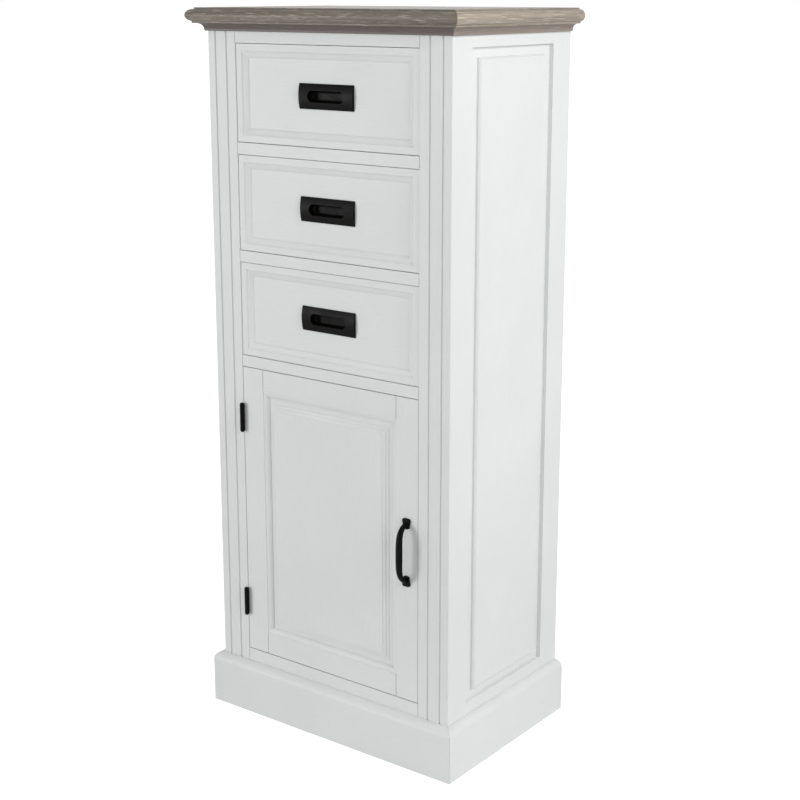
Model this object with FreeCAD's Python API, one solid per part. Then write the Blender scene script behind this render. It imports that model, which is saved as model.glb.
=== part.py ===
import FreeCAD, Part

import math
import os
from FreeCAD import Vector

# Highboard: a tall narrow cabinet with three drawers above one door.
# X runs to the viewer's right, the front faces -Y and Z is up.
# The origin is on the floor, under the middle of the whole outline.
# All sizes are in millimetres.

# Whole cabinet
overall_height = 1200.0
case_width = 482.0
case_depth = 325.0
rail_thickness = 20.0
contact_gap = 0.3

# Top and its moulded edge
top_thickness = 24.5
edge_strip_lap = 30.0
nose_overhang = 26.0
nose_radius = 9.5
nose_top_step = 2.5
nose_top_inset = 1.5
step_soffit = 4.0
cove_radius = 10.0
cornice_foot = 4.0
cornice_foot_height = 2.0

# Reeded front posts
post_width = 58.5
post_depth = 50.5
post_edge_radius = 1.5
reed_groove_width = 3.4
reed_groove_depth = 1.8
reed_groove_inset = 16.0
reed_groove_pitch = 23.7

# Front rails and openings
top_rail_show = 18.0
drawer_opening_height = 157.0
divider_height = 19.0
bottom_rail_show = 22.0
bottom_rail_height = 52.0
frame_joint_width = 1.2
frame_joint_depth = 1.2
drawer_count = 3

# Side frames and raised side panels
rear_stile_width = 50.5
side_top_rail_show = 18.0
side_bottom_rail_show = 20.5
side_bottom_rail_height = 50.0
side_groove_depth = 8.0
side_tongue_play = 0.5
side_tongue_thickness = 6.5
side_margin_depth = 7.0
side_margin_across = 22.0
side_margin_upright = 15.0
side_field_setback = 0.5
side_field_chamfer = 3.0

# Plinth
plinth_height = 90.0
plinth_thickness = 15.0
plinth_round = 14.0
plinth_corner_radius = 3.5

# Inner boards
back_thickness = 6.0
back_rebate = 10.0
floor_thickness = 16.0
dust_board_thickness = 12.0
shelf_thickness = 16.0
shelf_clearance = 1.0
shelf_front_setback = 32.0
shelf_height_in_cupboard = 246.0
shelf_hole_pitch = 32.0
shelf_hole_count = 5
shelf_peg_radius = 2.5
shelf_peg_depth = 10.0
shelf_lug_length = 8.0
shelf_lug_width = 9.0
shelf_lug_height = 8.0
shelf_peg_from_end = 9.5

# Drawers
reveal = 0.9
front_thickness = 20.0
drawer_setback = 1.5
drawer_border = 11.0
drawer_field_depth = 6.3
drawer_moulding_width = 11.0
drawer_moulding_step = 0.4
box_side_clearance = 1.5
box_wall = 12.0
box_top_clearance = 11.7
box_back_drop = 6.0
box_rear_clearance = 16.0
box_bottom_thickness = 5.0
box_bottom_rise = 8.0
box_groove_depth = 6.0
runner_lap = 16.0
runner_guide_height = 14.0

# Recessed drawer pulls
pull_width = 108.0
pull_height = 39.5
pull_rim = 1.4
pull_crown = 4.4
pocket_width = 72.0
pocket_height = 18.0
pocket_depth = 8.5
pocket_floor_round = 5.0
cup_wall = 1.4

# Door
door_reveal = 1.2
door_setback = 0.5
stile_face = 43.0
door_rail_face = 38.0
door_joint_width = 1.6
door_joint_depth = 2.4
sticking_width = 9.0
sticking_depth = 4.8
sticking_quirk = 1.2
panel_margin = 9.3
panel_bevel = 10.0
panel_margin_depth = 6.5
panel_field_setback = 0.3
panel_step = 0.9
panel_tongue_thickness = 6.0
panel_tongue_length = 7.0
panel_tongue_play = 0.5

# Butt hinges
hinge_length = 46.0
hinge_inset = 64.0
knuckle_radius = 3.7
knuckle_count = 5
knuckle_gap = 0.3
knuckle_stand_off = 0.8
hinge_pin_radius = 1.6
hinge_pin_fit = 0.06
hinge_pin_head_radius = 3.3
hinge_pin_head_height = 2.2
leaf_thickness = 1.4
leaf_gap = 0.5
leaf_in_wood = 17.0
leaf_relief = 0.5
hinge_screw_count = 3
hinge_screw_pitch = 17.0
hinge_screw_radius = 1.4
hinge_screw_head_radius = 2.6
hinge_screw_length = 13.0

# Bow handle
handle_spacing = 96.0
handle_foot_width = 16.0
handle_foot_waist = 10.5
handle_foot_height = 17.5
handle_foot_corner = 3.5
handle_foot_thickness = 3.6
handle_foot_round = 1.6
handle_projection = 24.5
bow_width = 12.5
bow_thickness = 8.0
neck_width = 8.0
neck_thickness = 6.6
handle_screw_radius = 2.0
handle_screw_head_radius = 4.0
handle_screw_head_height = 2.4
handle_screw_grip = 4.0

# Door catch and strike
catch_width = 14.0
catch_height = 45.0
catch_depth = 20.0
catch_from_door_top = 30.0
catch_edge_round = 1.5
strike_thickness = 1.0
strike_width = 17.0
strike_play = 0.5

# Planes and levels that follow from the sizes above
side_x = case_width / 2
back_y = (case_depth + nose_overhang) / 2
face_y = back_y - case_depth
post_x = side_x - post_width
post_back_y = face_y + post_depth
rear_stile_y = back_y - rear_stile_width
rail_back_y = face_y + rail_thickness
frame_inner_x = side_x - rail_thickness
carcass_top = overall_height - top_thickness
cove_drop = cove_radius + cornice_foot_height
cornice_bottom = carcass_top - cove_drop
first_opening_top = cornice_bottom - top_rail_show
cupboard_top = first_opening_top - drawer_count * (drawer_opening_height + divider_height)
cupboard_bottom = plinth_height + bottom_rail_show
back_panel_front_y = back_y - back_thickness
side_opening_top = cornice_bottom - side_top_rail_show
side_opening_bottom = plinth_height + side_bottom_rail_show
side_panel_front_x = side_x - side_margin_depth
side_panel_back_x = side_panel_front_x - side_tongue_thickness

door_face_y = face_y + door_setback
door_back_y = door_face_y + front_thickness
door_x = post_x - door_reveal
door_bottom = cupboard_bottom + door_reveal
door_top = cupboard_top - door_reveal
hinge_x = -(post_x - door_reveal / 2)
hinge_y = face_y - knuckle_radius - knuckle_stand_off
hinge_centres = [
    door_top - hinge_inset - hinge_length / 2,
    door_bottom + hinge_inset + hinge_length / 2,
]
handle_x = door_x - stile_face / 2
handle_z = (door_top + door_bottom) / 2


def box(x0, x1, y0, y1, z0, z1):
    """A block between two corners."""
    return Part.makeBox(x1 - x0, y1 - y0, z1 - z0, Vector(x0, y0, z0))


def prism(corners, height):
    """A polygon in space pushed along a vector."""
    return Part.Face(Part.makePolygon(corners + corners[:1])).extrude(height)


def plan_prism(plan, z0, z1):
    """A polygon on the floor plan pushed up from z0 to z1."""
    return prism([Vector(x, y, z0) for x, y in plan], Vector(0, 0, z1 - z0))


def cylinder(radius, length, start, direction):
    return Part.makeCylinder(radius, length, start, direction)


def joined(pieces):
    """One clean solid from pieces that touch or overlap."""
    whole = pieces[0].multiFuse(pieces[1:]) if len(pieces) > 1 else pieces[0]
    return whole.removeSplitter()


def mirrored(shape):
    """The same piece on the other side of the cabinet."""
    return shape.mirror(Vector(0, 0, 0), Vector(1, 0, 0))


def joint_groove(x, surface_y, z0, z1, width, depth):
    """A fine upright V, cut along the line where two boards meet."""
    lead = depth / 2
    half = width / 2 * (1 + lead / depth)
    corners = [
        Vector(x - half, surface_y - lead, z0),
        Vector(x + half, surface_y - lead, z0),
        Vector(x, surface_y + depth, z0),
    ]
    return prism(corners, Vector(0, 0, z1 - z0))


def arc_edge(start, middle, end):
    return Part.Arc(start, middle, end).toShape()


def outline_face(steps, place):
    """A flat face through straight steps (u, v) and arcs (u_middle, v_middle, u, v)."""
    edges = []
    here = steps[0]
    for step in steps[1:] + steps[:1]:
        end = step[-2:]
        if len(step) == 4:
            edges.append(arc_edge(place(*here), place(*step[:2]), place(*end)))
        else:
            edges.append(Part.makeLine(place(*here), place(*end)))
        here = end
    return Part.Face(Part.Wire(edges))


def bulged(start, end, rise):
    """An arc step from start to end that bows out by rise to the left of the way it goes."""
    across = (end[0] - start[0], end[1] - start[1])
    length = math.hypot(*across)
    middle_u = (start[0] + end[0]) / 2 - across[1] / length * rise
    middle_v = (start[1] + end[1]) / 2 + across[0] / length * rise
    return (middle_u, middle_v, end[0], end[1])


def save(node, *solids):
    """Writes the solids of one sub-part to its own file."""
    shape = solids[0] if len(solids) == 1 else Part.makeCompound(list(solids))
    if len(shape.Solids) == 1:
        shape = shape.Solids[0]
    shape.exportStep("parts/" + node + ".step")


def opening_top(drawer):
    """Top of a drawer's opening; drawer 0 is the highest."""
    return first_opening_top - drawer * (drawer_opening_height + divider_height)


def opening_bottom(drawer):
    return opening_top(drawer) - drawer_opening_height


# Cornice, top and plinth

def around_front(strip, inner, outer, z0, z1):
    """Cuts a long strip, made for the front, into mitred front, left and right strips."""
    front_plan = [
        (-side_x + inner, face_y + inner),
        (side_x - inner, face_y + inner),
        (side_x + outer, face_y - outer),
        (-side_x - outer, face_y - outer),
    ]
    right_plan = [
        (side_x - inner, face_y + inner),
        (side_x + outer, face_y - outer),
        (side_x + outer, back_y),
        (side_x - inner, back_y),
    ]
    front = strip.common(plan_prism(front_plan, z0, z1))
    turned = strip.copy()
    turned.rotate(Vector(0, face_y, 0), Vector(0, 0, 1), 90)
    turned.translate(Vector(side_x, 0, 0))
    right = turned.common(plan_prism(right_plan, z0, z1))
    return front, mirrored(right), right


def cornice_strip():
    """The moulded edge as one long straight strip in front of the case."""
    reach = case_width / 2 + case_depth + nose_overhang
    nose_u = nose_overhang - nose_radius
    nose_top = overall_height - nose_top_step
    nose_z = nose_top - nose_radius
    cove_u = cornice_foot + cove_radius
    cove_z = carcass_top - cove_radius
    diagonal = cove_radius * math.sqrt(0.5)
    step_u = cove_u + step_soffit
    step_top = nose_z - math.sqrt(nose_radius**2 - (step_u - nose_u) ** 2)
    steps = [
        (-edge_strip_lap, carcass_top),
        (-edge_strip_lap, overall_height),
        (nose_u - nose_top_inset, overall_height),
        (nose_u - nose_top_inset, nose_top),
        (nose_u, nose_top),
        (nose_overhang, nose_z, step_u, step_top),
        (step_u, carcass_top),
        (cove_u, carcass_top),
        (cove_u - diagonal, cove_z + diagonal, cornice_foot, cove_z),
        (cornice_foot, cornice_bottom),
        (0, cornice_bottom),
        (0, carcass_top),
    ]
    face = outline_face(steps, lambda u, v: Vector(-reach, face_y - u, v))
    return face.extrude(Vector(2 * reach, 0, 0))


def make_top():
    outer = nose_overhang + nose_radius
    pieces = around_front(cornice_strip(), edge_strip_lap, outer, cornice_bottom, overall_height)
    for name, piece in zip(("front", "left", "right"), pieces):
        save("cornice_" + name, piece)
    lap_x = side_x - edge_strip_lap
    lap_y = face_y + edge_strip_lap
    save("top_panel", box(-lap_x, lap_x, lap_y, back_y, carcass_top, overall_height))


def plinth_strip():
    """The plinth board with its rounded top edge as one long straight strip."""
    reach = case_width / 2 + case_depth + plinth_thickness
    round_u = plinth_thickness - plinth_round
    round_v = plinth_height - plinth_round
    diagonal = plinth_round * math.sqrt(0.5)
    steps = [
        (0, 0),
        (plinth_thickness, 0),
        (plinth_thickness, round_v),
        (round_u + diagonal, round_v + diagonal, round_u, plinth_height),
        (0, plinth_height),
    ]
    face = outline_face(steps, lambda u, v: Vector(-reach, face_y - u, v))
    return face.extrude(Vector(2 * reach, 0, 0))


def make_plinth():
    outer_x = side_x + plinth_thickness
    outer_y = face_y - plinth_thickness
    envelope = box(-outer_x, outer_x, outer_y, back_y, 0, plinth_height)
    corners = [
        edge for edge in envelope.Edges
        if abs(edge.CenterOfMass.y - outer_y) < 0.01 and abs(edge.CenterOfMass.z * 2 - plinth_height) < 0.01
    ]
    envelope = envelope.makeFillet(plinth_corner_radius, corners)
    pieces = around_front(plinth_strip(), 0, plinth_thickness, 0, plinth_height)
    for name, piece in zip(("front", "left", "right"), pieces):
        save("plinth_" + name, piece.common(envelope))


# Case

def shelf_hole_levels():
    """Heights of the shelf support holes; the shelf rests on the middle one."""
    middle = cupboard_bottom + shelf_height_in_cupboard - shelf_lug_height / 2
    first = -(shelf_hole_count // 2)
    return [middle + (first + n) * shelf_hole_pitch for n in range(shelf_hole_count)]


def shelf_peg_places():
    """Wall plane and depth of the front and the rear support on the right side."""
    front = (post_x, post_back_y - shelf_peg_from_end)
    rear = (frame_inner_x, rear_stile_y + rear_stile_width / 2)
    return [front, rear]


def drill_shelf_holes(piece, place):
    wall_x, y = place
    for level in shelf_hole_levels():
        hole = cylinder(shelf_peg_radius, shelf_peg_depth, Vector(wall_x, y, level), Vector(1, 0, 0))
        piece = piece.cut(hole)
    return piece


def leaf_recess(centre_z, on_door):
    """The shallow mortise of one hinge leaf, as a block to cut from post or door edge."""
    z0 = centre_z - hinge_length / 2
    z1 = centre_z + hinge_length / 2
    inner = leaf_gap / 2
    outer = inner + leaf_thickness
    side = 1 if on_door else -1
    x0, x1 = sorted((hinge_x + side * inner, hinge_x + side * outer))
    return box(x0, x1, face_y - knuckle_stand_off, face_y + leaf_in_wood, z0, z1)


def hinge_screw_places(centre_z):
    """Depth and heights of the screws in one leaf."""
    y = face_y + leaf_in_wood / 2
    middle = (hinge_screw_count - 1) / 2
    return [(y, centre_z + (n - middle) * hinge_screw_pitch) for n in range(hinge_screw_count)]


def hinge_screw(centre_y, z, on_door):
    """A countersunk screw through a leaf, its head flush with the leaf."""
    side = 1 if on_door else -1
    head_x = hinge_x + side * leaf_gap / 2
    along = Vector(side, 0, 0)
    start = Vector(head_x, centre_y, z)
    head = Part.makeCone(hinge_screw_head_radius, hinge_screw_radius, leaf_thickness, start, along)
    shank = cylinder(hinge_screw_radius, hinge_screw_length, start, along)
    return joined([head, shank])


def reed_grooves():
    """Round-bottomed grooves that run the full height of the right post's face."""
    radius = reed_groove_width / 2
    grooves = []
    for n in range(2):
        x = side_x - reed_groove_inset - n * reed_groove_pitch
        floor_y = face_y + reed_groove_depth - radius
        round_part = cylinder(radius, carcass_top, Vector(x, floor_y, 0), Vector(0, 0, 1))
        mouth = box(x - radius, x + radius, face_y - 1, floor_y, 0, carcass_top)
        grooves += [round_part, mouth]
    return grooves


def frame_joint_grooves():
    """The V between the right post and the end of each rail, where they show."""
    levels = [(first_opening_top, cornice_bottom), (plinth_height, cupboard_bottom)]
    for drawer in range(drawer_count):
        levels.append((opening_bottom(drawer) - divider_height, opening_bottom(drawer)))
    return [
        joint_groove(post_x, face_y, z0, z1, frame_joint_width, frame_joint_depth)
        for z0, z1 in levels
    ]


def side_tongue_slot(y0, y1, z0, z1):
    """The slot for the side panel's tongue and the side rails' stub tenons."""
    return box(side_panel_back_x, side_panel_front_x, y0, y1, z0, z1)


def make_posts():
    post = box(post_x, side_x, face_y, post_back_y, 0, carcass_top)
    outer_corner = [
        edge for edge in post.Edges
        if abs(edge.CenterOfMass.x - side_x) < 0.01 and abs(edge.CenterOfMass.y - face_y) < 0.01
    ]
    post = post.makeFillet(post_edge_radius, outer_corner)
    post = post.cut(reed_grooves() + frame_joint_grooves())
    slot_bottom = side_opening_bottom - side_bottom_rail_height
    post = post.cut(side_tongue_slot(post_back_y - side_groove_depth, post_back_y, slot_bottom, carcass_top))
    post = drill_shelf_holes(post, shelf_peg_places()[0])
    left = mirrored(post)
    for centre_z in hinge_centres:
        left = left.cut(leaf_recess(centre_z, False))
        for y, z in hinge_screw_places(centre_z):
            left = left.cut(hinge_screw(y, z, False))
    save("post_right", post)
    save("post_left", left)


def save_rail(name, back, z0, z1):
    rail = box(-post_x, post_x, face_y, back, z0, z1)
    grooves = frame_joint_grooves()
    save(name, rail.cut(grooves + [mirrored(groove) for groove in grooves]))


def make_front_rails():
    save_rail("front_top_rail", rail_back_y, first_opening_top, carcass_top)
    names = ["drawer_divider_%d" % (n + 1) for n in range(drawer_count - 1)] + ["door_head_rail"]
    for drawer, name in enumerate(names):
        top = opening_bottom(drawer)
        save_rail(name, post_back_y, top - divider_height, top)
    rail_bottom = cupboard_bottom - bottom_rail_height
    save_rail("front_bottom_rail", rail_back_y, rail_bottom, cupboard_bottom)


def make_side_frames():
    stile = box(frame_inner_x, side_x, rear_stile_y, back_y, 0, carcass_top)
    back_bottom = cupboard_bottom - floor_thickness
    stile = stile.cut(box(
        frame_inner_x, frame_inner_x + back_rebate, back_panel_front_y, back_y, back_bottom, carcass_top,
    ))
    slot_bottom = side_opening_bottom - side_bottom_rail_height
    stile = stile.cut(side_tongue_slot(rear_stile_y, rear_stile_y + side_groove_depth, slot_bottom, carcass_top))
    stile = drill_shelf_holes(stile, shelf_peg_places()[1])
    levels = {
        "top": (side_opening_top, carcass_top),
        "bottom": (slot_bottom, side_opening_bottom),
    }
    rails = {}
    for name, (z0, z1) in levels.items():
        rail = box(frame_inner_x, side_x, post_back_y, rear_stile_y, z0, z1)
        tenons = side_tongue_slot(post_back_y - side_groove_depth, rear_stile_y + side_groove_depth, z0, z1)
        rail = joined([rail, tenons])
        if name == "top":
            groove = side_tongue_slot(post_back_y, rear_stile_y, z0, z0 + side_groove_depth)
        else:
            groove = side_tongue_slot(post_back_y, rear_stile_y, z1 - side_groove_depth, z1)
        groove_ends = box(
            side_panel_back_x, side_panel_front_x,
            post_back_y - side_groove_depth, rear_stile_y + side_groove_depth,
            groove.BoundBox.ZMin, groove.BoundBox.ZMax,
        )
        rails[name] = rail.cut(groove_ends)
    save("side_rear_stile_right", stile)
    save("side_rear_stile_left", mirrored(stile))
    for name, rail in rails.items():
        save("side_%s_rail_right" % name, rail)
        save("side_%s_rail_left" % name, mirrored(rail))


def make_side_panels():
    tongue = side_groove_depth - side_tongue_play
    plate = box(
        side_panel_back_x, side_panel_front_x,
        post_back_y - tongue, rear_stile_y + tongue,
        side_opening_bottom - tongue, side_opening_top + tongue,
    )
    field = box(
        side_panel_front_x, side_x - side_field_setback,
        post_back_y + side_margin_across, rear_stile_y - side_margin_across,
        side_opening_bottom + side_margin_upright, side_opening_top - side_margin_upright,
    )
    outer = [edge for edge in field.Edges if edge.CenterOfMass.x > side_x - side_field_setback - 0.01]
    field = field.makeChamfer(side_field_chamfer, outer)
    panel = joined([plate, field])
    save("side_panel_right", panel)
    save("side_panel_left", mirrored(panel))


def make_inner_boards():
    back_x = frame_inner_x + back_rebate
    floor_bottom = cupboard_bottom - floor_thickness
    save("back_panel", box(-back_x, back_x, back_panel_front_y, back_y, floor_bottom, carcass_top))
    floor = [
        box(-post_x, post_x, rail_back_y, post_back_y, floor_bottom, cupboard_bottom),
        box(-frame_inner_x, frame_inner_x, post_back_y, back_panel_front_y, floor_bottom, cupboard_bottom),
    ]
    save("floor_board", joined(floor))
    dust_x = post_x - runner_lap
    dust_top = opening_bottom(drawer_count - 1)
    save("dust_board", box(
        -dust_x, dust_x, post_back_y, back_panel_front_y, dust_top - dust_board_thickness, dust_top,
    ))


def make_shelf():
    bottom = cupboard_bottom + shelf_height_in_cupboard
    narrow_x = post_x - shelf_clearance
    wide_x = frame_inner_x - shelf_clearance
    boards = [
        box(-narrow_x, narrow_x, face_y + shelf_front_setback, post_back_y + shelf_clearance,
            bottom, bottom + shelf_thickness),
        box(-wide_x, wide_x, post_back_y + shelf_clearance, back_panel_front_y - shelf_clearance,
            bottom, bottom + shelf_thickness),
    ]
    save("shelf", joined(boards))
    supports = []
    for wall_x, y in shelf_peg_places():
        level = bottom - shelf_lug_height / 2
        peg = cylinder(shelf_peg_radius, shelf_peg_depth, Vector(wall_x, y, level), Vector(1, 0, 0))
        lug = box(
            wall_x - shelf_lug_length, wall_x,
            y - shelf_lug_width / 2, y + shelf_lug_width / 2,
            bottom - shelf_lug_height, bottom,
        )
        support = joined([peg, lug])
        supports += [support, mirrored(support)]
    save("shelf_supports", *supports)


# Drawers

def box_back_y():
    return back_panel_front_y - box_rear_clearance


def make_runners():
    """A runner with a side guide and a rear stop under each side of each drawer."""
    runners = []
    for drawer in range(drawer_count):
        top = opening_bottom(drawer)
        inner_x = post_x - runner_lap
        base = box(inner_x, frame_inner_x, post_back_y, back_panel_front_y, top - divider_height, top)
        guide = box(post_x, frame_inner_x, post_back_y, back_panel_front_y, top, top + runner_guide_height)
        stop = box(
            inner_x, post_x, box_back_y() + contact_gap, back_panel_front_y,
            top, top + runner_guide_height,
        )
        runner = joined([base, guide, stop])
        runners += [runner, mirrored(runner)]
    save("drawer_runners", *runners)


def mitred_strips(steps, half_width, half_height, centre_z, surface_y, width):
    """Mouldings round the inside of a rectangle in the front, with mitred corners.

    Each step's u runs in from the rectangle's edge and its v runs back from the surface.
    The strips come back by name: bottom, top, left and right.
    """
    sides = {
        "bottom": (Vector(0, 0, 1), Vector(1, 0, 0), half_width, half_height),
        "top": (Vector(0, 0, -1), Vector(1, 0, 0), half_width, half_height),
        "left": (Vector(1, 0, 0), Vector(0, 0, 1), half_height, half_width),
        "right": (Vector(-1, 0, 0), Vector(0, 0, 1), half_height, half_width),
    }
    depths = [v for step in steps for v in step[1::2]]
    front, back = min(depths) - 1, max(depths) + 1
    strips = {}
    for name, (inward, along, half, other) in sides.items():
        corner = Vector(0, surface_y, centre_z) - inward * other - along * half

        def place(u, v, corner=corner, inward=inward):
            return corner + inward * u + Vector(0, v, 0)

        strip = outline_face(steps, place).extrude(along * (2 * half))
        near = corner + Vector(0, front, 0)
        wedge = prism(
            [
                near,
                near + along * (2 * half),
                near + along * (2 * half - width) + inward * width,
                near + along * width + inward * width,
            ],
            Vector(0, back - front, 0),
        )
        strips[name] = strip.common(wedge)
    return strips


def drawer_front(bottom, top):
    """A front board whose field is sunk behind a hollow and a round, each set off by a small step."""
    half_width = post_x - reveal
    face = face_y + drawer_setback
    centre_z = (bottom + top) / 2
    half_height = (top - bottom) / 2 - reveal
    front = box(
        -half_width, half_width, face, face + front_thickness,
        centre_z - half_height, centre_z + half_height,
    )
    hollow_start = (0, drawer_moulding_step)
    hollow_end = (drawer_moulding_width * 0.5, (drawer_field_depth - drawer_moulding_step) / 2)
    round_start = (hollow_end[0], hollow_end[1] + drawer_moulding_step)
    round_end = (drawer_moulding_width, drawer_field_depth - drawer_moulding_step)
    steps = [
        (0, -1),
        hollow_start,
        bulged(hollow_start, hollow_end, 0.4),
        round_start,
        bulged(round_start, round_end, -0.4),
        (drawer_moulding_width, -1),
    ]
    inner_x = half_width - drawer_border
    inner_z = half_height - drawer_border
    for strip in mitred_strips(steps, inner_x, inner_z, centre_z, face, drawer_moulding_width).values():
        front = front.cut(strip)
    field_x = inner_x - drawer_moulding_width
    field_z = inner_z - drawer_moulding_width
    return front.cut(box(
        -field_x, field_x, face - 1, face + drawer_field_depth,
        centre_z - field_z, centre_z + field_z,
    ))


def oblong(width, height, centre_z, y0, y1):
    """A flat block with half-round ends."""
    radius = height / 2
    half = width / 2 - radius
    depth = y1 - y0
    middle = box(-half, half, y0, y1, centre_z - radius, centre_z + radius)
    ends = [cylinder(radius, depth, Vector(x, y0, centre_z), Vector(0, 1, 0)) for x in (-half, half)]
    return joined([middle] + ends)


def pull_plate(field_y, centre_z):
    """The visible plate, crowned from top to bottom."""
    half_height = pull_height / 2
    steps = [
        (-half_height, 0),
        (half_height, 0),
        (half_height, pull_rim),
        (0, pull_crown, -half_height, pull_rim),
    ]
    face = outline_face(steps, lambda u, v: Vector(-pull_width / 2, field_y - v, centre_z + u))
    return face.extrude(Vector(pull_width, 0, 0))


def make_pull(drawer, field_y, centre_z):
    """The pull, and the room that its cup needs in the front board."""
    pocket_back = field_y + pocket_depth
    cup_back = pocket_back + cup_wall
    cup_width = pocket_width + 2 * cup_wall
    cup_height = pocket_height + 2 * cup_wall
    cup = oblong(cup_width, cup_height, centre_z, field_y - pull_rim / 2, cup_back)
    pocket = oblong(pocket_width, pocket_height, centre_z, field_y - pull_crown - 1, pocket_back)
    floor_edges = [edge for edge in pocket.Edges if edge.BoundBox.YMin > pocket_back - 0.01]
    floor_round = min(pocket_floor_round, pocket_height / 2 - 1, pocket_depth - 0.5)
    pocket = pocket.makeFillet(floor_round, floor_edges)
    pull = joined([pull_plate(field_y, centre_z), cup]).cut(pocket)
    save("drawer_%d_pull" % drawer, pull)
    room_width = cup_width + 2 * contact_gap
    room_height = cup_height + 2 * contact_gap
    return oblong(room_width, room_height, centre_z, field_y - 1, cup_back + contact_gap)


def make_drawer(index):
    drawer = index + 1
    bottom, top = opening_bottom(index), opening_top(index)
    centre_z = (bottom + top) / 2
    outer_x = post_x - box_side_clearance
    inner_x = outer_x - box_wall
    front_back_y = face_y + drawer_setback + front_thickness
    end_y = box_back_y()
    box_bottom = bottom + contact_gap
    box_top = top - box_top_clearance
    plate_z = box_bottom + box_bottom_rise
    groove_x = inner_x + box_groove_depth
    groove_y = front_back_y - box_groove_depth
    plate_top = plate_z + box_bottom_thickness
    bottom_plate = box(-groove_x, groove_x, groove_y, end_y, plate_z, plate_top)

    front = drawer_front(bottom, top).cut(bottom_plate)
    pull_room = make_pull(drawer, face_y + drawer_setback + drawer_field_depth, centre_z)
    save("drawer_%d_front" % drawer, front.cut(pull_room))
    side = box(inner_x, outer_x, front_back_y, end_y, box_bottom, box_top).cut(bottom_plate)
    save("drawer_%d_side_right" % drawer, side)
    save("drawer_%d_side_left" % drawer, mirrored(side))
    back = box(-inner_x, inner_x, end_y - box_wall, end_y, plate_top, box_top - box_back_drop)
    save("drawer_%d_back" % drawer, back)
    save("drawer_%d_bottom" % drawer, bottom_plate)


# Door

def door_strips():
    """The moulded inner edges of the door frame, one strip for each frame member."""
    slope_start = (sticking_quirk, sticking_quirk)
    slope_end = (sticking_width - sticking_quirk, sticking_depth - 0.6)
    steps = [
        (0, sticking_quirk),
        slope_start,
        bulged(slope_start, slope_end, -0.8),
        (sticking_width - sticking_quirk, sticking_depth),
        (sticking_width, sticking_depth),
        (sticking_width, front_thickness),
        (0, front_thickness),
    ]
    half_width = door_x - stile_face
    half_height = (door_top - door_bottom) / 2 - door_rail_face
    return mitred_strips(steps, half_width, half_height, handle_z, door_face_y, sticking_width)


def door_panel_plate(extra):
    """The panel's thin edge where it sits in the frame's slot, grown by extra."""
    half_x = door_x - stile_face - sticking_width + panel_tongue_length + extra
    half_z = (door_top - door_bottom) / 2 - door_rail_face - sticking_width + panel_tongue_length + extra
    y0 = door_face_y + panel_margin_depth
    return box(-half_x, half_x, y0, y0 + panel_tongue_thickness, handle_z - half_z, handle_z + half_z)


def handle_screw_holes():
    """Clearance holes through the lock stile for the handle screws."""
    holes = []
    for side in (-1, 1):
        start = Vector(handle_x, door_face_y - 1, handle_z + side * handle_spacing / 2)
        radius = handle_screw_radius + contact_gap
        holes.append(cylinder(radius, front_thickness + 2, start, Vector(0, 1, 0)))
    return holes


def door_joint_grooves():
    """The V at each end of both door rails."""
    rail_x = door_x - stile_face
    levels = [(door_bottom, door_bottom + door_rail_face), (door_top - door_rail_face, door_top)]
    return [
        joint_groove(x, door_face_y, z0, z1, door_joint_width, door_joint_depth)
        for x in (-rail_x, rail_x) for z0, z1 in levels
    ]


def make_door_frame():
    strips = door_strips()
    room = [door_panel_plate(panel_tongue_play)] + door_joint_grooves()
    rail_x = door_x - stile_face
    hinge_stile = box(-door_x, -rail_x, door_face_y, door_back_y, door_bottom, door_top)
    hinge_stile = joined([hinge_stile, strips["left"]]).cut(room)
    for centre_z in hinge_centres:
        hinge_stile = hinge_stile.cut(leaf_recess(centre_z, True))
        for y, z in hinge_screw_places(centre_z):
            hinge_stile = hinge_stile.cut(hinge_screw(y, z, True))
    save("door_hinge_stile", hinge_stile)
    lock_stile = box(rail_x, door_x, door_face_y, door_back_y, door_bottom, door_top)
    lock_stile = joined([lock_stile, strips["right"]]).cut(room)
    for hole in handle_screw_holes():
        lock_stile = lock_stile.cut(hole)
    save("door_lock_stile", lock_stile)
    top_rail = box(-rail_x, rail_x, door_face_y, door_back_y, door_top - door_rail_face, door_top)
    save("door_top_rail", joined([top_rail, strips["top"]]).cut(room))
    bottom_rail = box(
        -rail_x, rail_x, door_face_y, door_back_y, door_bottom, door_bottom + door_rail_face,
    )
    save("door_bottom_rail", joined([bottom_rail, strips["bottom"]]).cut(room))


def make_door_panel():
    """A panel whose field stands up from its margin behind a bevel with three small steps."""
    half_x = door_x - stile_face - sticking_width - panel_margin
    half_z = (door_top - door_bottom) / 2 - door_rail_face - sticking_width - panel_margin
    field = box(
        -half_x, half_x, door_face_y + panel_field_setback, door_face_y + panel_margin_depth,
        handle_z - half_z, handle_z + half_z,
    )
    foot = panel_margin_depth - panel_step
    head = panel_field_setback + panel_step
    middle = (foot + head + panel_step) / 2
    steps = [
        (0, -1),
        (0, foot),
        (panel_bevel / 2, middle),
        (panel_bevel / 2, middle - panel_step),
        (panel_bevel, head),
        (panel_bevel, -1),
    ]
    for strip in mitred_strips(steps, half_x, half_z, handle_z, door_face_y, panel_bevel).values():
        field = field.cut(strip)
    save("door_panel", joined([door_panel_plate(0), field]))


# Hinges

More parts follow.
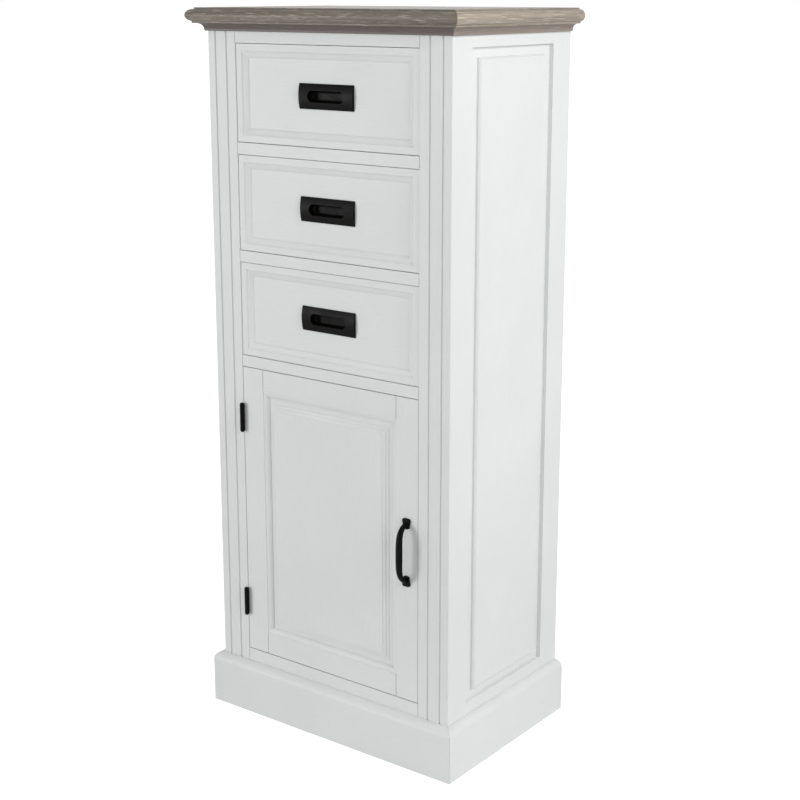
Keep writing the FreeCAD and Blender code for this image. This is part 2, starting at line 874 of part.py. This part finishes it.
def hinge_half(centre_z, on_door):
    """One leaf with its knuckles; the frame leaf has the outer ones."""
    side = 1 if on_door else -1
    inner = leaf_gap / 2
    x0, x1 = sorted((hinge_x + side * inner, hinge_x + side * (inner + leaf_thickness)))
    z0 = centre_z - hinge_length / 2
    relief_y = hinge_y + knuckle_radius + leaf_relief
    length = (hinge_length - (knuckle_count - 1) * knuckle_gap) / knuckle_count
    pieces = [box(x0, x1, relief_y, face_y + leaf_in_wood, z0, z0 + hinge_length)]
    bores = []
    for knuckle in range(knuckle_count):
        if (knuckle % 2 == 1) != on_door:
            continue
        k0 = z0 + knuckle * (length + knuckle_gap)
        axis_foot = Vector(hinge_x, hinge_y, k0)
        pieces.append(cylinder(knuckle_radius, length, axis_foot, Vector(0, 0, 1)))
        pieces.append(box(x0, x1, hinge_y, relief_y, k0, k0 + length))
        bores.append(cylinder(hinge_pin_radius + hinge_pin_fit, length, axis_foot, Vector(0, 0, 1)))
    half = joined(pieces)
    for bore in bores:
        half = half.cut(bore)
    for y, z in hinge_screw_places(centre_z):
        half = half.cut(hinge_screw(y, z, on_door))
    return half


def hinge_pin(centre_z):
    """A pin with a domed head at each end."""
    z0 = centre_z - hinge_length / 2
    pieces = [cylinder(hinge_pin_radius, hinge_length, Vector(hinge_x, hinge_y, z0), Vector(0, 0, 1))]
    for side, z in ((-1, z0), (1, z0 + hinge_length)):
        head = cylinder(
            hinge_pin_head_radius, hinge_pin_head_height,
            Vector(hinge_x, hinge_y, z), Vector(0, 0, side),
        )
        tip_z = z + side * hinge_pin_head_height
        tip = [edge for edge in head.Edges if abs(edge.BoundBox.ZMin - tip_z) < 0.01]
        tip = [edge for edge in tip if abs(edge.BoundBox.ZMax - tip_z) < 0.01]
        round_size = min(hinge_pin_head_height, hinge_pin_head_radius) * 0.8
        pieces.append(head.makeFillet(round_size, tip))
    return joined(pieces)


def make_hinges():
    save("hinge_frame_leaves", *[hinge_half(z, False) for z in hinge_centres])
    save("hinge_door_leaves", *[hinge_half(z, True) for z in hinge_centres])
    save("hinge_pins", *[hinge_pin(z) for z in hinge_centres])
    for name, on_door in (("hinge_frame_screws", False), ("hinge_door_screws", True)):
        places = [place for centre_z in hinge_centres for place in hinge_screw_places(centre_z)]
        save(name, *[hinge_screw(y, z, on_door) for y, z in places])


# Handle

def bow_stations():
    """Points along the bow as shares of its half length, closer together near the feet."""
    half = [0.0, 0.3, 0.58, 0.78, 0.9, 0.965, 0.995]
    return [-t for t in reversed(half[1:])] + half


def bow_section(t):
    """One oval section of the bow, square to the way that the bow runs."""
    half_length = handle_spacing / 2
    middle_rise = handle_projection - bow_thickness / 2

    def centre(share):
        rise = middle_rise * max(0.0, 1 - abs(share) ** 4.5) ** 0.62
        return Vector(handle_x, door_face_y - rise, handle_z + half_length * share)

    step = 0.005
    tangent = centre(t + step) - centre(t - step)
    tangent.normalize()
    across = Vector(1, 0, 0)
    out = tangent.cross(across)
    fullness = 1 - abs(t) ** 2.2
    half_width = (neck_width + (bow_width - neck_width) * fullness) / 2
    half_thickness = (neck_thickness + (bow_thickness - neck_thickness) * fullness) / 2
    middle = centre(t)
    oval = Part.Ellipse(middle + across * half_width, middle + out * half_thickness, middle)
    return Part.Wire(oval.toShape())


def handle_foot(z, outward):
    """A rounded pad on the stile that widens away from the bow."""
    wide, waist = handle_foot_width / 2, handle_foot_waist / 2
    reach = outward * handle_foot_height / 2
    corners = [(-waist, -reach), (waist, -reach), (wide, reach), (-wide, reach)]
    pad = prism(
        [Vector(handle_x + x, door_face_y, z + up) for x, up in corners],
        Vector(0, -handle_foot_thickness, 0),
    )
    upright = [edge for edge in pad.Edges if edge.BoundBox.YLength > handle_foot_thickness / 2]
    pad = pad.makeFillet(handle_foot_corner, upright)
    rim_y = door_face_y - handle_foot_thickness
    rim = [edge for edge in pad.Edges if edge.BoundBox.YMax < rim_y + 0.01]
    return pad.makeFillet(handle_foot_round, rim)


def make_handle():
    bow = Part.makeLoft([bow_section(t) for t in bow_stations()], True)
    feet = [handle_foot(handle_z + side * handle_spacing / 2, side) for side in (-1, 1)]
    handle = joined([bow] + feet)
    screws = []
    for side in (-1, 1):
        z = handle_z + side * handle_spacing / 2
        tip = Vector(handle_x, door_face_y - handle_screw_grip, z)
        shank_length = handle_screw_grip + front_thickness
        shank = cylinder(handle_screw_radius, shank_length, tip, Vector(0, 1, 0))
        handle = handle.cut(shank)
        head = cylinder(
            handle_screw_head_radius, handle_screw_head_height,
            Vector(handle_x, door_back_y, z), Vector(0, 1, 0),
        )
        back_y_of_head = door_back_y + handle_screw_head_height
        edge = [e for e in head.Edges if e.BoundBox.YMin > back_y_of_head - 0.01]
        head = head.makeFillet(handle_screw_head_height * 0.6, edge)
        screws.append(joined([shank, head]))
    save("door_handle", handle)
    save("handle_screws", *screws)


# Catch

def make_catch():
    """A block on the right post that meets a steel plate on the door's back."""
    top = door_top - catch_from_door_top
    front_y = door_back_y + strike_thickness + strike_play
    body = box(post_x - catch_width, post_x, front_y, front_y + catch_depth, top - catch_height, top)
    outer = [
        edge for edge in body.Edges
        if abs(edge.CenterOfMass.x - (post_x - catch_width)) < 0.01
    ]
    save("door_catch", body.makeFillet(catch_edge_round, outer))
    strike_x1 = door_x - strike_play
    save("door_strike_plate", box(
        strike_x1 - strike_width, strike_x1, door_back_y, door_back_y + strike_thickness,
        top - catch_height, top,
    ))


os.makedirs("parts", exist_ok=True)
make_top()
make_plinth()
make_posts()
make_front_rails()
make_side_frames()
make_side_panels()
make_inner_boards()
make_shelf()
make_runners()
for number in range(drawer_count):
    make_drawer(number)
make_door_frame()
make_door_panel()
make_hinges()
make_handle()
make_catch()
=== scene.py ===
"""Finishes for the highboard: lacquer, weathered oak, plain birch and black iron."""

import math

import bpy
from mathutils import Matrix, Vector


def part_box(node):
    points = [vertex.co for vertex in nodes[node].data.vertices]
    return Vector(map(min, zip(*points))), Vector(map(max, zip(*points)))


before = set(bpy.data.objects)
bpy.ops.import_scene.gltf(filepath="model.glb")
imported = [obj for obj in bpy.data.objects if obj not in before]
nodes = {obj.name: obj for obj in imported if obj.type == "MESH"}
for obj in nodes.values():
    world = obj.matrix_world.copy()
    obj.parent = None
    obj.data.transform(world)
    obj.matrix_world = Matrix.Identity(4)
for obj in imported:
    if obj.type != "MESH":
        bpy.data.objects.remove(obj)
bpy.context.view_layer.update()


# Shader helpers

# The Mix node's sockets for colours go by their place, as others beside them have the same names
mix_share = 0
mix_first = 6
mix_second = 7
mix_result = 2

# Noise runs from 0 to 1 but seldom leaves this stretch
noise_low = 0.3
noise_high = 0.7

white = (1.0, 1.0, 1.0, 1.0)


def colour(red, green, blue):
    """A display colour from 0 to 255 as the linear colour that a shader takes, by the sRGB curve."""
    parts = []
    for value in (red, green, blue):
        share = value / 255
        parts.append(share / 12.92 if share <= 0.04045 else ((share + 0.055) / 1.055) ** 2.4)
    return (*parts, 1.0)


def set_sockets(tree, node, values):
    """Links each socket whose value comes from another node, and sets the others to their value."""
    for socket, value in values.items():
        if isinstance(value, bpy.types.NodeSocket):
            tree.links.new(value, node.inputs[socket])
        else:
            node.inputs[socket].default_value = value


def add(tree, kind, values=(), **options):
    """Adds one shader node with its options chosen and its sockets filled."""
    node = tree.nodes.new("ShaderNode" + kind)
    for name, option in options.items():
        setattr(node, name, option)
    set_sockets(tree, node, dict(values))
    return node


def math_of(tree, operation, first, second, clamp=False):
    """One sum, difference, product or larger of two values, held from 0 to 1 by clamp."""
    values = {0: first, 1: second}
    return add(tree, "Math", values, operation=operation, use_clamp=clamp).outputs[0]


def ranged(tree, value, low, high, to_low=0.0, to_high=1.0):
    """Value from low to high brought to to_low to to_high, held at both ends."""
    values = {"Value": value, "From Min": low, "From Max": high, "To Min": to_low, "To Max": to_high}
    return add(tree, "MapRange", values).outputs["Result"]


def spread(tree, field, to_low=0.0, to_high=1.0):
    """A noise field brought to the whole of to_low to to_high."""
    return ranged(tree, field, noise_low, noise_high, to_low, to_high)


def blended(tree, share, first, second):
    """Two colours mixed, with share as how much of the second is in it."""
    values = {mix_share: share, mix_first: first, mix_second: second}
    return add(tree, "Mix", values, data_type="RGBA").outputs[mix_result]


def laid_over(tree, body, tint, mask, amount):
    """A body colour with a tint over it where the mask is, at most by amount."""
    return blended(tree, math_of(tree, "MULTIPLY", mask, amount), body, tint)


def weighed(tree, first, first_share, second, second_share):
    """Two fields added up, each by its share."""
    first_part = math_of(tree, "MULTIPLY", first, first_share)
    second_part = math_of(tree, "MULTIPLY", second, second_share)
    return math_of(tree, "ADD", first_part, second_part)


def here_on(tree):
    """The place on the piece itself, so that the finish moves with the piece."""
    return add(tree, "TexCoord").outputs["Object"]


def along_grain(tree, stretch):
    """The place on the piece with its marks drawn out by stretch."""
    return add(tree, "VectorMath", {0: here_on(tree), 1: stretch}, operation="MULTIPLY").outputs[0]


def noise(tree, place, scale, detail=3.0, roughness=0.5, distortion=0.0):
    """A noise field: scale is marks to a metre, detail and roughness how they break up finer."""
    values = {
        "Vector": place, "Scale": scale, "Detail": detail,
        "Roughness": roughness, "Distortion": distortion,
    }
    return add(tree, "TexNoise", values).outputs["Fac"]


def bumped(tree, height, depth, strength=1.0, normal=None):
    """The normal of a surface with a height worked into it, from another normal where one is given."""
    values = {"Height": height, "Distance": depth, "Strength": strength}
    if normal is not None:
        values["Normal"] = normal
    return add(tree, "Bump", values).outputs[0]


def new_group(name, inputs, outputs):
    """An empty shader node group: each input is a (name, kind, value), each output a (name, kind)."""
    tree = bpy.data.node_groups.new(name, "ShaderNodeTree")
    for socket_name, kind, value in inputs:
        socket = tree.interface.new_socket(socket_name, in_out="INPUT", socket_type="NodeSocket" + kind)
        socket.default_value = value
    for socket_name, kind in outputs:
        tree.interface.new_socket(socket_name, in_out="OUTPUT", socket_type="NodeSocket" + kind)
    given = tree.nodes.new("NodeGroupInput")
    result = tree.nodes.new("NodeGroupOutput")
    return tree, given.outputs, result


def placed(tree, group, **values):
    """Puts a node group into a material; an underscore stands for the space in a socket's name."""
    named = {name.replace("_", " "): value for name, value in values.items()}
    return add(tree, "Group", named, node_tree=group).outputs


# Shared effects

# Rays that feel for corners and edges at each point
mask_samples = 8


def wood_figure_group():
    """Long growth bands, fine fibres and open pores along one direction."""
    tree, given, result = new_group(
        "wood figure",
        [
            ("Stretch", "Vector", (1.0, 12.0, 12.0)),
            ("Band Scale", "Float", 6.0),
            ("Fibre Scale", "Float", 60.0),
            ("Pore Amount", "Float", 0.5),
        ],
        [("Bands", "Float"), ("Fibres", "Float"), ("Pores", "Float"), ("Height", "Float")],
    )
    pores_to_fibres = 1.7
    highest_start = 0.74
    start_drop = 0.2
    pore_edge = 0.06
    fibre_relief = 0.6
    along = along_grain(tree, given["Stretch"])
    bands = noise(tree, along, given["Band Scale"], detail=4.0, roughness=0.55, distortion=0.8)
    fibres = noise(tree, along, given["Fibre Scale"], detail=6.0, roughness=0.7, distortion=0.2)
    pore_scale = math_of(tree, "MULTIPLY", given["Fibre Scale"], pores_to_fibres)
    pore_field = noise(tree, along, pore_scale, detail=2.0)
    # A pore opens where its noise is above a start, which comes down as the amount of pores grows
    drop = math_of(tree, "MULTIPLY", given["Pore Amount"], start_drop)
    pore_start = math_of(tree, "SUBTRACT", highest_start, drop)
    pore_full = math_of(tree, "ADD", pore_start, pore_edge)
    pores = ranged(tree, pore_field, pore_start, pore_full)
    raised_fibres = math_of(tree, "MULTIPLY", fibres, fibre_relief)
    set_sockets(tree, result, {
        "Bands": spread(tree, bands),
        "Fibres": spread(tree, fibres),
        "Pores": pores,
        "Height": math_of(tree, "SUBTRACT", raised_fibres, pores),
    })
    return tree


def paint_skin_group():
    """The faint unevenness of a sprayed and rubbed down coat of paint."""
    tree, given, result = new_group(
        "paint skin",
        [("Stretch", "Vector", (1.0, 8.0, 8.0)), ("Peel Scale", "Float", 700.0)],
        [("Tone", "Float"), ("Gloss", "Float"), ("Height", "Float")],
    )
    here = here_on(tree)
    clouds = noise(tree, here, scale=5.0)
    strokes = noise(tree, along_grain(tree, given["Stretch"]), scale=40.0, detail=4.0, roughness=0.6)
    peel = noise(tree, here, given["Peel Scale"], detail=1.0, roughness=0.4)
    tone = weighed(tree, clouds, 0.65, strokes, 0.35)
    set_sockets(tree, result, {
        "Tone": ranged(tree, tone, low=0.35, high=0.65),
        "Gloss": spread(tree, strokes),
        "Height": weighed(tree, strokes, 0.5, peel, 0.5),
    })
    return tree


def recess_group():
    """A mask from ambient occlusion that grows in corners and grooves, where little light reaches:
    colour laid over it is painted shade.
    """
    tree, given, result = new_group(
        "recess dust",
        [("Reach", "Float", 0.012), ("Breakup Scale", "Float", 90.0)],
        [("Mask", "Float")],
    )
    around = add(tree, "AmbientOcclusion", {"Distance": given["Reach"]}, samples=mask_samples)
    closed = math_of(tree, "SUBTRACT", 1.0, around.outputs["AO"], clamp=True)
    breakup = spread(tree, noise(tree, here_on(tree), given["Breakup Scale"]), to_low=0.6)
    set_sockets(tree, result, {"Mask": math_of(tree, "MULTIPLY", closed, breakup)})
    return tree


def rubbed_edge_group():
    """A mask along outer edges, where hands and cloths rub the finish."""
    tree, given, result = new_group(
        "rubbed edges",
        [("Width", "Float", 0.0015), ("Breakup Scale", "Float", 120.0)],
        [("Mask", "Float"), ("Normal", "Vector")],
    )
    rounded = add(tree, "Bevel", {"Radius": given["Width"]}, samples=mask_samples).outputs[0]
    true_normal = add(tree, "NewGeometry").outputs["Normal"]
    values = {0: rounded, 1: true_normal}
    likeness = add(tree, "VectorMath", values, operation="DOT_PRODUCT").outputs["Value"]
    turned_away = math_of(tree, "SUBTRACT", 1.0, likeness)
    edge = ranged(tree, turned_away, low=0.02, high=0.25)
    breakup = noise(tree, here_on(tree), given["Breakup Scale"], detail=4.0, roughness=0.6)
    breakup = ranged(tree, breakup, low=0.4, high=0.6)
    set_sockets(tree, result, {"Mask": math_of(tree, "MULTIPLY", edge, breakup), "Normal": rounded})
    return tree


wood_figure = wood_figure_group()
paint_skin = paint_skin_group()
recess_shade = recess_group()
rubbed_edges = rubbed_edge_group()


# Materials

cove_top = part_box("top_panel")[0][2]


def new_material(name):
    """A new material with its node tree and its shader."""
    material = bpy.data.materials.new(name)
    material.use_nodes = True
    tree = material.node_tree
    return material, tree, tree.nodes["Principled BSDF"]


def along_axis(axis, across):
    """A stretch that makes marks run along X, Y or Z; across is how much narrower they are."""
    return tuple(1.0 if name == axis else across for name in "XYZ")


def white_lacquer(axis):
    """Cool white satin lacquer over wood, whose grain just shows under the coat."""
    material, tree, shader = new_material("white lacquer " + axis)
    grain_relief = 0.5
    pale = colour(231, 234, 233)
    cool = colour(225, 228, 227)
    shade = colour(188, 190, 184)
    skin = placed(tree, paint_skin, Stretch=along_axis(axis, across=9.0))
    grain = along_axis(axis, across=14.0)
    figure = placed(tree, wood_figure, Stretch=grain, Band_Scale=5.0, Fibre_Scale=26.0)
    painted_shade = placed(tree, recess_shade, Reach=0.005)
    coat = blended(tree, skin["Tone"], cool, pale)
    coat = laid_over(tree, coat, shade, figure["Pores"], amount=0.10)
    # Painted shade: grey laid over the lacquer in grooves, gaps and corners, where the occlusion mask
    # grows
    coat = laid_over(tree, coat, shade, painted_shade["Mask"], amount=0.08)
    raised_grain = math_of(tree, "MULTIPLY", figure["Height"], grain_relief)
    height = math_of(tree, "ADD", skin["Height"], raised_grain)
    set_sockets(tree, shader, {
        "Base Color": coat,
        "Roughness": ranged(tree, skin["Gloss"], 0.0, 1.0, to_low=0.44, to_high=0.54),
        "Specular IOR Level": 0.35,
        "Normal": bumped(tree, height, depth=0.00006),
    })
    return material


def weathered_oak(axis, painted_brightness, cove_darkening, lime_share, fibre_scale, polish):
    """Brown-grey wood, wire brushed and limed: pale open grain, and a darker mauve brown in the cove.

    A brightness above 1 paints a paler copy of the same wood, below 1 a darker one: this is painted
    light, by which the side boards stand brighter for the light on the right side. The cove share from
    0 to 1 says how far the cove turns to a darker mauve brown, the lime share how much lime is in the
    open grain. A higher fibre_scale makes shorter marks of the same width, and polish is how much wax
    the board carries.
    """
    material, tree, shader = new_material("weathered oak %s %.2f" % (axis, painted_brightness))
    marks_across = 420.0
    cove_fade = 0.001
    dark = colour(98 * painted_brightness, 90 * painted_brightness, 81 * painted_brightness)
    middle = colour(136 * painted_brightness, 127 * painted_brightness, 116 * painted_brightness)
    limed = colour(186 * painted_brightness, 175 * painted_brightness, 160 * painted_brightness)
    cove_colour = colour(101 * painted_brightness, 91 * painted_brightness, 88 * painted_brightness)
    painted_shade_brown = colour(56, 48, 44)
    grain = along_axis(axis, marks_across / fibre_scale)
    figure = placed(
        tree, wood_figure, Stretch=grain, Band_Scale=5.0, Fibre_Scale=fibre_scale, Pore_Amount=0.9
    )
    # Occlusion mask for the painted shade in the corners, such as the line under the nose
    corners = placed(tree, recess_shade, Reach=0.012)
    edges = placed(tree, rubbed_edges, Width=0.002)
    body = blended(tree, figure["Bands"], dark, middle)
    body = laid_over(tree, body, middle, figure["Fibres"], amount=0.45)
    body = laid_over(tree, body, limed, figure["Pores"], lime_share)
    body = laid_over(tree, body, limed, edges["Mask"], amount=0.10)
    height_above_floor = add(tree, "SeparateXYZ", {0: here_on(tree)}).outputs["Z"]
    # Below the underside of the top panel, the cove is turned towards a darker mauve brown
    in_cove = ranged(tree, height_above_floor, cove_top, cove_top + cove_fade, cove_darkening, 0.0)
    body = blended(tree, in_cove, body, cove_colour)
    # Painted shade: dark brown laid over the corners where the occlusion mask grows
    body = laid_over(tree, body, painted_shade_brown, corners["Mask"], amount=0.9)
    set_sockets(tree, shader, {
        "Base Color": body,
        "Roughness": ranged(tree, figure["Fibres"], 0.0, 1.0, to_low=0.52, to_high=0.64),
        "Specular IOR Level": 0.3,
        "Coat Weight": polish,
        "Coat Roughness": 0.22,
        "Normal": bumped(tree, figure["Height"], depth=0.0003),
    })
    return material


def birch(axis):
    """Plain pale birch board for the parts inside."""
    material, tree, shader = new_material("birch " + axis)
    grain = along_axis(axis, across=12.0)
    figure = placed(
        tree, wood_figure, Stretch=grain, Band_Scale=3.0, Fibre_Scale=18.0, Pore_Amount=0.4
    )
    painted_shade = placed(tree, recess_shade, Reach=0.02)
    body = blended(tree, figure["Bands"], colour(196, 168, 128), colour(214, 190, 152))
    body = laid_over(tree, body, colour(222, 202, 168), figure["Fibres"], amount=0.35)
    body = laid_over(tree, body, colour(150, 120, 84), figure["Pores"], amount=0.35)
    # Painted shade: brown laid over the inside corners where the occlusion mask grows
    body = laid_over(tree, body, colour(120, 100, 76), painted_shade["Mask"], amount=0.3)
    set_sockets(tree, shader, {
        "Base Color": body,
        "Roughness": 0.55,
        "Normal": bumped(tree, figure["Height"], depth=0.0001),
    })
    return material


def black_iron():
    """Cast iron with a thin satin black coat, slightly uneven from the sand mould."""
    material, tree, shader = new_material("black iron")
    here = here_on(tree)
    sand = noise(tree, here, scale=900.0, detail=4.0, roughness=0.6)
    patches = noise(tree, here, scale=60.0)
    edges = placed(tree, rubbed_edges, Width=0.0008, Breakup_Scale=300.0)
    body = blended(tree, patches, colour(5, 5, 4), colour(9, 9, 8))
    body = laid_over(tree, body, colour(70, 67, 64), edges["Mask"], amount=0.25)
    height = math_of(tree, "ADD", sand, patches)
    set_sockets(tree, shader, {
        "Base Color": body,
        "Roughness": spread(tree, patches, to_low=0.36, to_high=0.50),
        "Specular IOR Level": 0.06,
        "Normal": bumped(tree, height, depth=0.00012, strength=0.6, normal=edges["Normal"]),
    })
    return material


def zinc_steel():
    """Zinc plated steel of the screws, pegs and strike plate."""
    material, tree, shader = new_material("zinc steel")
    clouds = noise(tree, here_on(tree), scale=140.0, detail=4.0, roughness=0.6)
    set_sockets(tree, shader, {
        "Base Color": blended(tree, clouds, colour(168, 170, 172), colour(204, 205, 204)),
        "Metallic": 1.0,
        "Roughness": spread(tree, clouds, to_low=0.28, to_high=0.42),
        "Normal": bumped(tree, clouds, depth=0.00005),
    })
    return material


def catch_plastic():
    """Pale moulded plastic of the catch."""
    material, tree, shader = new_material("catch plastic")
    here = here_on(tree)
    grain = noise(tree, here, scale=1200.0, detail=2.0)
    clouds = noise(tree, here, scale=40.0)
    set_sockets(tree, shader, {
        "Base Color": blended(tree, clouds, colour(206, 204, 196), colour(214, 213, 206)),
        "Roughness": spread(tree, grain, to_low=0.45, to_high=0.55),
        "Normal": bumped(tree, grain, depth=0.00004),
    })
    return material


lacquer = {axis: white_lacquer(axis) for axis in "XYZ"}
oak_top = weathered_oak(
    "X", painted_brightness=1.0, cove_darkening=0.85, lime_share=0.75, fibre_scale=20.0, polish=0.6
)
oak_front = weathered_oak(
    "X", painted_brightness=0.97, cove_darkening=0.85, lime_share=0.75, fibre_scale=22.0, polish=0.1
)
# Painted light: the side boards are a paler copy with a lighter cove, for the brighter light on the
# right side
oak_side_painted_paler = weathered_oak(
    "Y", painted_brightness=1.31, cove_darkening=0.5, lime_share=0.4, fibre_scale=13.0, polish=0.1
)
bare = {axis: birch(axis) for axis in "XYZ"}
iron = black_iron()
steel = zinc_steel()
plastic = catch_plastic()

steel_pieces = ("handle_screws", "shelf_supports", "door_strike_plate")
boards_inside = ("back_panel", "floor_board", "dust_board", "shelf", "drawer_runners")
drawer_box_endings = ("_back", "_bottom", "_side_left", "_side_right")


def finish_of(name):
    """The material of one CAD node, with its grain along the way that the board runs."""
    if name == "top_panel":
        return oak_top
    if name.startswith("cornice"):
        # The side cornice boards take the paler copy, painted light for the brighter right side
        return oak_front if name == "cornice_front" else oak_side_painted_paler
    if name.endswith("_pull") or name == "door_handle" or name.startswith("hinge_"):
        return iron
    if name in steel_pieces:
        return steel
    if name == "door_catch":
        return plastic
    low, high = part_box(name)
    sizes = [high[axis] - low[axis] for axis in range(3)]
    axis = "XYZ"[sizes.index(max(sizes))]
    if name in boards_inside or name.endswith(drawer_box_endings):
        return bare[axis]
    return lacquer[axis]


for name, piece in nodes.items():
    piece.data.materials.clear()
    piece.data.materials.append(finish_of(name))


# Eased edges, as sandpaper leaves them: they also draw the fine joint between two boards

# Widths and the reach of the welds are in metres
eased_board = 0.0005
eased_front = 0.0010
eased_iron = 0.0004
ease_segments = 2
sharp_degrees = 35.0
flat_degrees = 0.5
same_point = 0.00001
same_corner = 0.000005


def ease_edges(piece, width):
    """Rounds a piece's sharp edges by width and lets the light run evenly over the round."""
    weld = piece.modifiers.new("weld", "WELD")
    weld.merge_threshold = same_point
    flats = piece.modifiers.new("flat faces", "DECIMATE")
    flats.decimate_type = "DISSOLVE"
    flats.angle_limit = math.radians(flat_degrees)
    bevel = piece.modifiers.new("eased edges", "BEVEL")
    bevel.width = width
    bevel.segments = ease_segments
    bevel.limit_method = "ANGLE"
    bevel.angle_limit = math.radians(sharp_degrees)
    corners = piece.modifiers.new("closed corners", "WELD")
    corners.merge_threshold = same_corner
    normals = piece.modifiers.new("even light", "WEIGHTED_NORMAL")
    normals.keep_sharp = False


# The handle comes with its own rounded edges
for name, piece in nodes.items():
    if name.startswith(("hinge_", "handle_screws")) or name.endswith("_pull"):
        ease_edges(piece, eased_iron)
    elif name.startswith("drawer") and name.endswith("_front"):
        ease_edges(piece, eased_front)
    elif name != "door_handle":
        ease_edges(piece, eased_board)


# Floor, backdrop, light and camera

world_light = 0.36
paper_grey = 0.75
paper_glow = 0.85
floor_reach = 80.0
middle_of_case = (0.0, 0.0, 0.6)


def seen_directly(tree):
    """One for what the camera sees, also in metal or through glass, and zero for light on its way."""
    rays = add(tree, "LightPath").outputs
    seen = math_of(tree, "MAXIMUM", rays["Is Camera Ray"], rays["Is Glossy Ray"])
    return math_of(tree, "MAXIMUM", seen, rays["Is Transmission Ray"])


def paper_material():
    """Pale paper that reads as plain white to the camera but keeps a soft shadow."""
    material, tree, shader = new_material("pale floor")
    set_sockets(tree, shader, {
        "Base Color": (paper_grey, paper_grey, paper_grey, 1.0),
        "Roughness": 0.9,
        "Specular IOR Level": 0.1,
    })
    strength = math_of(tree, "MULTIPLY", seen_directly(tree), paper_glow)
    glow = add(tree, "Emission", {"Color": white, "Strength": strength})
    both = add(tree, "AddShader", {0: shader.outputs[0], 1: glow.outputs[0]})
    set_sockets(tree, tree.nodes["Material Output"], {"Surface": both.outputs[0]})
    return material


def make_floor():
    """A square of paper, so large that its rim is out of sight."""
    mesh = bpy.data.meshes.new("floor")
    rim = [
        (-floor_reach, -floor_reach, 0),
        (floor_reach, -floor_reach, 0),
        (floor_reach, floor_reach, 0),
        (-floor_reach, floor_reach, 0),
    ]
    mesh.from_pydata(rim, [], [(0, 1, 2, 3)])
    mesh.materials.append(paper_material())
    floor = bpy.data.objects.new("floor", mesh)
    bpy.context.scene.collection.objects.link(floor)


def make_world():
    """Even white surroundings: plain white to the camera, softer as light."""
    world = bpy.data.worlds.new("studio")
    bpy.context.scene.world = world
    world.use_nodes = True
    tree = world.node_tree
    tree.nodes.clear()
    strength = ranged(tree, seen_directly(tree), 0.0, 1.0, to_low=world_light, to_high=1.0)
    background = add(tree, "Background", {"Color": white, "Strength": strength})
    output = add(tree, "OutputWorld")
    set_sockets(tree, output, {"Surface": background.outputs[0]})


def soft_box(name, place, width, height, watts):
    """A large rectangular lamp that points at the middle of the case."""
    light = bpy.data.lights.new(name, "AREA")
    light.shape = "RECTANGLE"
    light.size = width
    light.size_y = height
    light.energy = watts
    lamp = bpy.data.objects.new(name, light)
    lamp.location = place
    lamp.rotation_euler = (Vector(middle_of_case) - Vector(place)).to_track_quat("-Z", "Y").to_euler()
    lamp.visible_camera = False
    bpy.context.scene.collection.objects.link(lamp)


def make_camera():
    """The photograph's viewpoint: a little above the top and 37 degrees round to the right.

    The standpoint is in metres, and both angles are in radians.
    """
    standpoint = (1.5367, -1.9882, 1.228)
    turn = 0.6473
    tilt_down = 0.2355
    camera = bpy.data.cameras.new("camera")
    camera.sensor_width = 36.0
    camera.lens = 69.52
    camera.shift_y = -0.05
    camera.clip_end = 100.0
    eye = bpy.data.objects.new("camera", camera)
    eye.location = standpoint
    eye.rotation_euler = (math.pi / 2 - tilt_down, 0.0, turn)
    bpy.context.scene.collection.objects.link(eye)
    bpy.context.scene.camera = eye


make_floor()
make_world()
soft_box("left softbox", place=(-4.2, -4.8, 0.8), width=1.7, height=1.7, watts=147.0)
soft_box("right softbox", place=(2.6, 0.8, 1.9), width=1.4, height=1.6, watts=21.0)
soft_box("front fill", place=(2.5, -0.8, 1.9), width=1.4, height=1.6, watts=31.0)
make_camera()
bpy.context.scene.view_settings.view_transform = "Standard"
